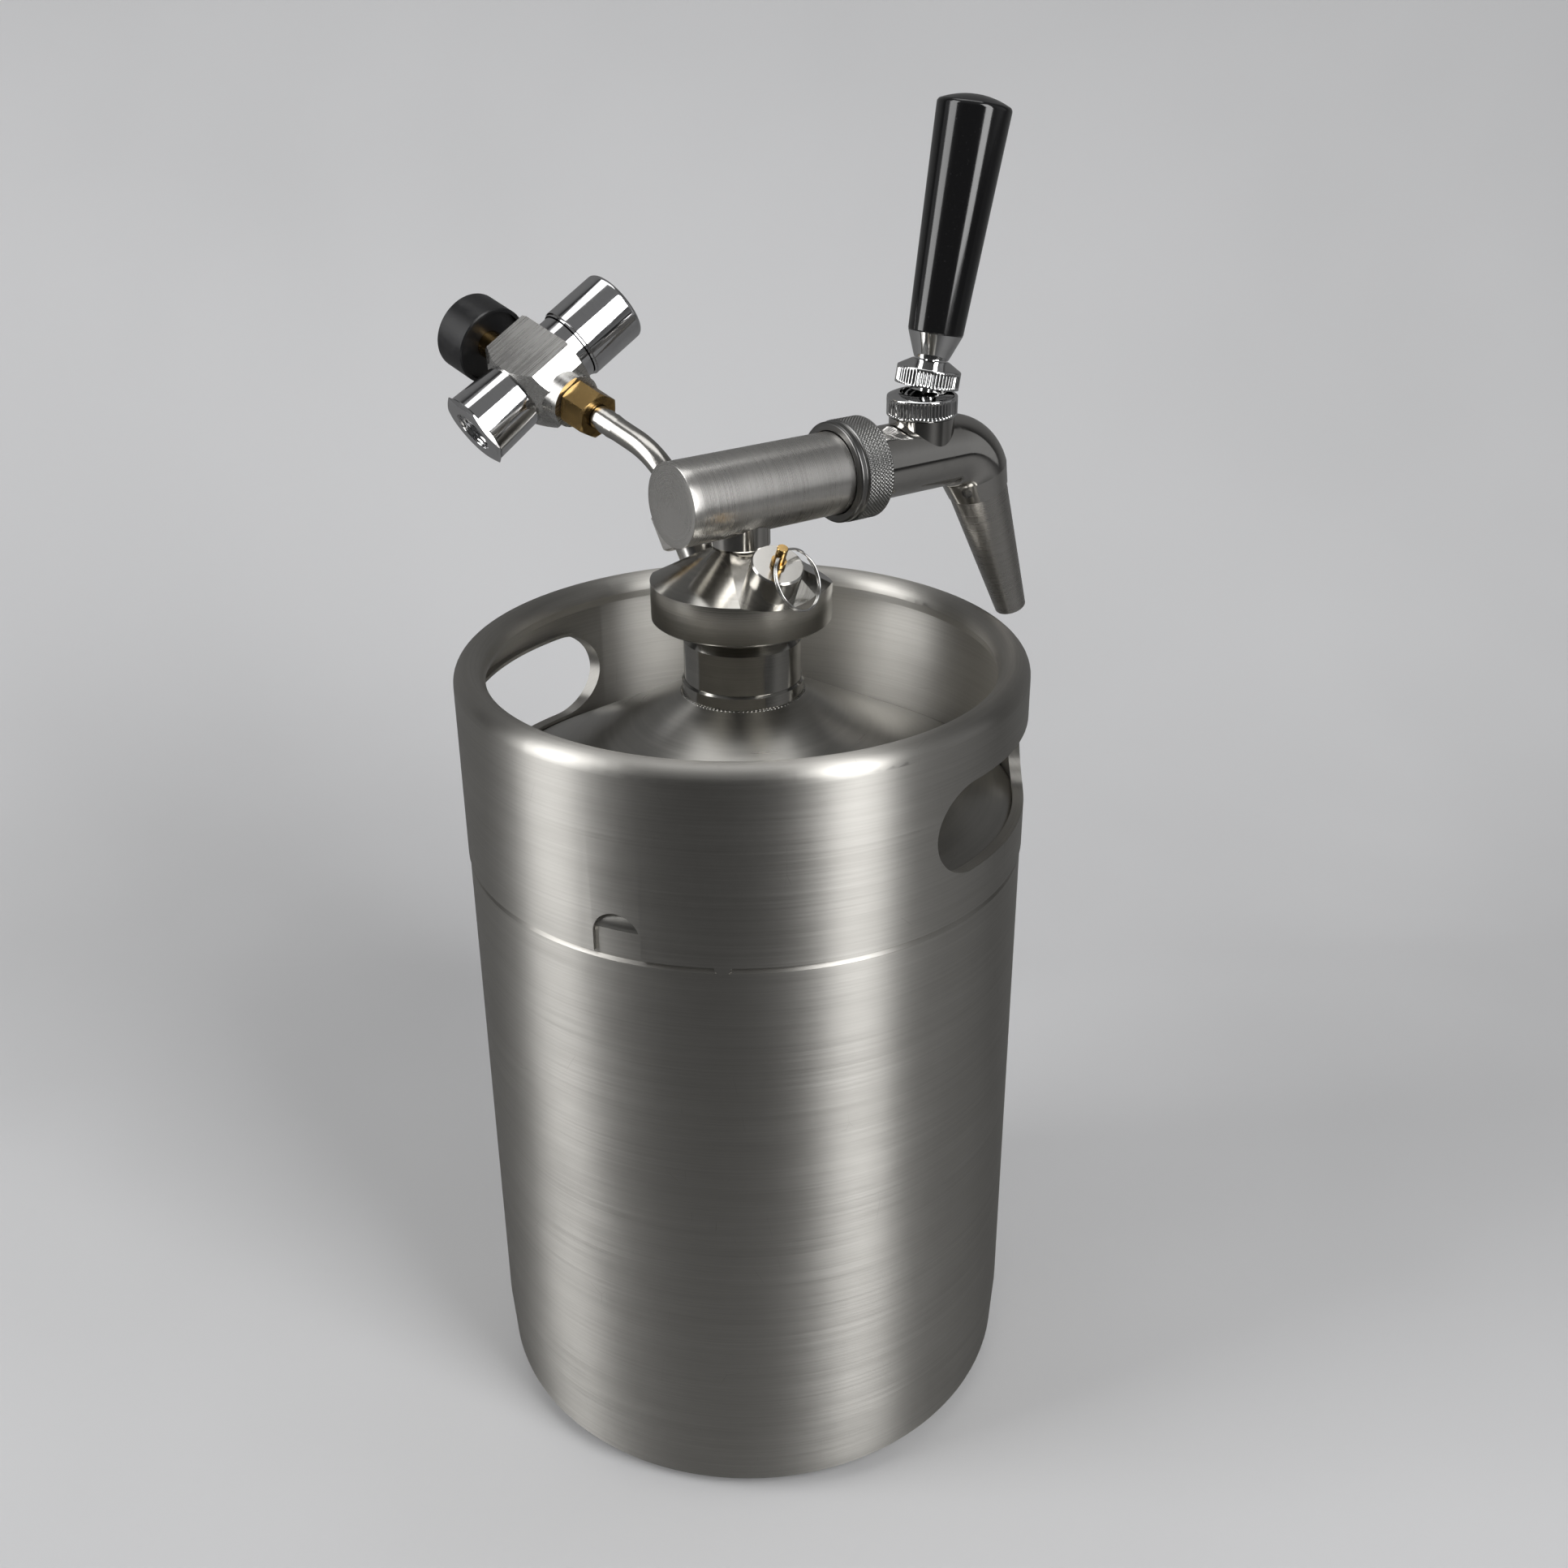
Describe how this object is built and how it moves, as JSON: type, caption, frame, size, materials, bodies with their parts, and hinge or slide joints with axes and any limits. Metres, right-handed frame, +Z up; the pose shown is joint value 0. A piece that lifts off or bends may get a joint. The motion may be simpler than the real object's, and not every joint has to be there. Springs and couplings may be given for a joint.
{
  "type": "mini keg beer dispenser",
  "caption": "Small steel keg with a hand-hold collar, a screw cap with a dispensing bar and lever tap, a pull-ring relief valve and a knob-set gas regulator with a gauge",
  "frame": {"origin": "on the keg's upright axis, at the height of the ring it stands on", "axes": "+Z up along the keg's axis; -Y is where the tap points; +X is the side of the gas regulator"},
  "size_m": [0.2176, 0.2029, 0.4134],
  "materials": {
    "keg_steel": "fine brushed grain running round the keg",
    "neck_steel": "machined, dull",
    "cap_steel": "fine turned grain",
    "bar_steel": "satin turned, knurled nut",
    "tube_steel": "drawn tube",
    "polished_steel": "polished",
    "tap_steel": "polished, slightly warm",
    "spout_steel": "satin",
    "seal_rubber": "soft black",
    "handle_black": "glossy black",
    "fitting_steel": "machined, lightly polished",
    "brass": "machined brass, slightly dulled",
    "spring_steel": "plain",
    "regulator_steel": "satin with light scratches",
    "regulator_chrome": "bright chrome",
    "gauge_black": "satin black",
    "dial_white": "matt white with black marks",
    "needle_black": "matt black",
    "lens_glass": "clear"
  },
  "bodies": {
    "keg": {"keg_shell": "keg_steel", "keg_dome": "keg_steel", "keg_neck": "neck_steel", "collar": "keg_steel"},
    "head": {"screw_cap": "cap_steel", "neck_seal": "seal_rubber", "stem": "polished_steel", "stem_nut": "cap_steel", "dip_tube": "tube_steel", "dispensing_bar": "bar_steel", "tail_seal": "seal_rubber", "tap_body": "tap_steel", "seat_ring": "seal_rubber", "relief_body": "fitting_steel", "gas_stub": "fitting_steel", "gas_tube": "fitting_steel", "regulator_body": "regulator_steel", "cartridge_holder": "regulator_chrome", "cartridge_seal": "seal_rubber", "piercing_pin": "regulator_chrome", "regulator_piston": "spring_steel", "regulator_spring": "spring_steel", "regulator_collar": "regulator_chrome", "gauge_stem": "brass", "gauge_case": "gauge_black", "gauge_dial": "dial_white", "gauge_lens": "lens_glass"},
    "coupling": {"coupling_nut": "bar_steel"},
    "spout_body": {"spout": "spout_steel"},
    "valve": {"shuttle": "tap_steel", "shuttle_disc": "seal_rubber"},
    "bonnet": {"bonnet_nut": "polished_steel"},
    "lever_body": {"lever": "polished_steel", "ferrule": "polished_steel", "handle": "handle_black"},
    "lock": {"lock_collar": "polished_steel"},
    "relief": {"relief_pin": "brass", "relief_disc": "seal_rubber", "relief_spring": "spring_steel"},
    "ring": {"pull_ring": "polished_steel"},
    "gas_coupling": {"gas_nut": "fitting_steel"},
    "outlet_coupling": {"brass_nut": "brass"},
    "knob": {"regulator_knob": "regulator_chrome", "adjusting_screw": "spring_steel"},
    "plate": {"spring_plate": "spring_steel"},
    "needle": {"gauge_needle": "needle_black"}
  },
  "joints": [
    {"name": "head_lift", "type": "slide", "parent": "keg", "child": "head", "axis": [0, 0, 1], "range_m": [0, 0.27]},
    {"name": "coupling_turn", "type": "hinge", "parent": "head", "child": "coupling", "pos_m": [0, -0.0336, 0.30855], "axis": [0, -1, 0], "continuous": true},
    {"name": "spout_turn", "type": "hinge", "parent": "head", "child": "spout_body", "pos_m": [0, -0.09345, 0.29378], "axis": [0, -0.3649, -0.9311], "continuous": true},
    {"name": "lever_tilt", "type": "hinge", "parent": "head", "child": "lever_body", "pos_m": [0, -0.0689, 0.322], "axis": [1, 0, 0], "range_deg": [0, 20]},
    {"name": "valve_slide", "type": "slide", "parent": "head", "child": "valve", "axis": [0, 1, 0], "range_m": [0, 0.0046]},
    {"name": "bonnet_turn", "type": "hinge", "parent": "head", "child": "bonnet", "pos_m": [0, -0.0689, 0.322], "axis": [0, 0, 1], "continuous": true},
    {"name": "lock_turn", "type": "hinge", "parent": "lever_body", "child": "lock", "pos_m": [0, -0.0689, 0.322], "axis": [0, -0.19, 0.9818], "continuous": true},
    {"name": "relief_pull", "type": "slide", "parent": "head", "child": "relief", "axis": [-0.4879, 0.0773, 0.8695], "range_m": [0, 0.0025], "stiffness_N_per_m": 600, "springref_m": -0.003},
    {"name": "ring_swing", "type": "hinge", "parent": "relief", "child": "ring", "pos_m": [-0.02613, 0.00414, 0.29703], "axis": [-0.4102, 0.859, -0.3065], "range_deg": [0, 140]},
    {"name": "gas_nut_turn", "type": "hinge", "parent": "head", "child": "gas_coupling", "pos_m": [0.01727, 0.00289, 0.28525], "axis": [0.4872, 0.0815, 0.8695], "continuous": true},
    {"name": "outlet_nut_turn", "type": "hinge", "parent": "head", "child": "outlet_coupling", "pos_m": [0.07221, 0.01208, 0.32304], "axis": [-0.9509, -0.1591, -0.2656], "continuous": true},
    {"name": "knob_turn", "type": "hinge", "parent": "head", "child": "knob", "pos_m": [0.09193, 0.00254, 0.33649], "axis": [0.0042, 0.851, -0.5251], "range_deg": [0, 540]},
    {"name": "plate_slide", "type": "slide", "parent": "head", "child": "plate", "axis": [0.0042, 0.851, -0.5251], "range_m": [0, 0.0015]},
    {"name": "needle_turn", "type": "hinge", "parent": "head", "child": "needle", "pos_m": [0.12185, 0.02039, 0.3369], "axis": [-0.9509, -0.1591, -0.2656], "range_deg": [0, 270], "stiffness_Nm_per_rad": 0.00002, "springref_deg": -57.3}
  ],
  "couplings": [
    {"joint": "valve_slide", "follows": "lever_tilt", "m_per_rad": 0.01275},
    {"joint": "plate_slide", "follows": "knob_turn", "m_per_rad": 0.000159}
  ]
}
